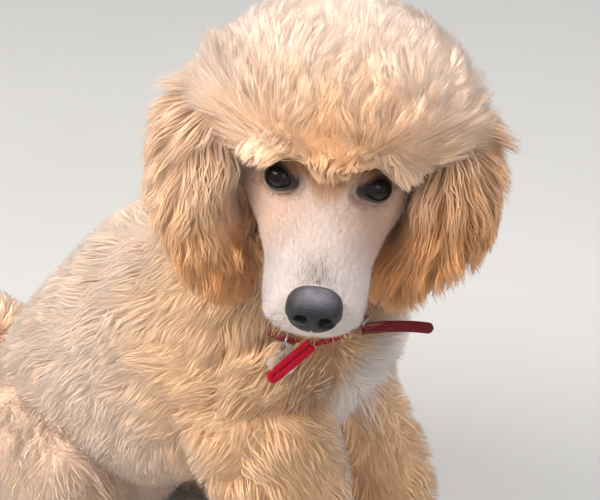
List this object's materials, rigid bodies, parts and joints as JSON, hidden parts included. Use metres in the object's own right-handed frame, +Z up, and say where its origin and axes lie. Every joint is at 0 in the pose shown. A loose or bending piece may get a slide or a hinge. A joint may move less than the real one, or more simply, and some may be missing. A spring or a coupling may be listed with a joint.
{
  "type": "standard poodle",
  "caption": "Young apricot standard poodle sitting, looking back over its right shoulder, in puppy clip with a round topknot and long ears, wearing a thin red collar with a round tag.",
  "frame": {"origin": "centre of the bounding box in X and Y, on the floor that the sitting dog rests on", "axes": "+Z up, the dog's chest faces -Y, its left side is +X; the head is turned back over its right shoulder, towards -X"},
  "size_m": [0.2966, 0.6405, 0.6357],
  "materials": {
    "coat": "soft wavy apricot coat, matte",
    "coat_light": "cream to apricot topknot over a clipped face, matte",
    "ear_coat": "long wavy darker apricot hair, matte",
    "short_coat": "clipped pinkish cream hair, matte",
    "nose_leather": "charcoal nose leather, satin and slightly damp",
    "eye": "near-black brown, wet gloss",
    "claw": "dark horn, satin",
    "red_webbing": "bright red woven webbing",
    "red_leather": "dark red strap, satin",
    "steel": "bright plated steel",
    "tag_metal": "pale satin disc, bare on both sides"
  },
  "bodies": {
    "root": {"head": "coat_light", "nose": "nose_leather", "eye_right": "eye", "eye_left": "eye", "neck": "coat", "torso": "coat", "collar_strap": "red_webbing", "collar_buckle": "steel", "collar_strap_end": "red_leather", "collar_loop": "red_webbing", "tag_ring": "steel", "tag": "tag_metal", "ear_right": "ear_coat", "foreleg_right": "coat", "forepaw_right": "short_coat", "foreclaw_right_1": "claw", "foreclaw_right_2": "claw", "foreclaw_right_3": "claw", "foreclaw_right_4": "claw", "hindleg_right": "coat", "hindpaw_right": "short_coat", "hindclaw_right_1": "claw", "hindclaw_right_2": "claw", "hindclaw_right_3": "claw", "hindclaw_right_4": "claw", "ear_left": "ear_coat", "foreleg_left": "coat", "forepaw_left": "short_coat", "foreclaw_left_1": "claw", "foreclaw_left_2": "claw", "foreclaw_left_3": "claw", "foreclaw_left_4": "claw", "hindleg_left": "coat", "hindpaw_left": "short_coat", "hindclaw_left_1": "claw", "hindclaw_left_2": "claw", "hindclaw_left_3": "claw", "hindclaw_left_4": "claw", "tail": "short_coat", "tail_pompom": "coat"}
  },
  "joints": []
}
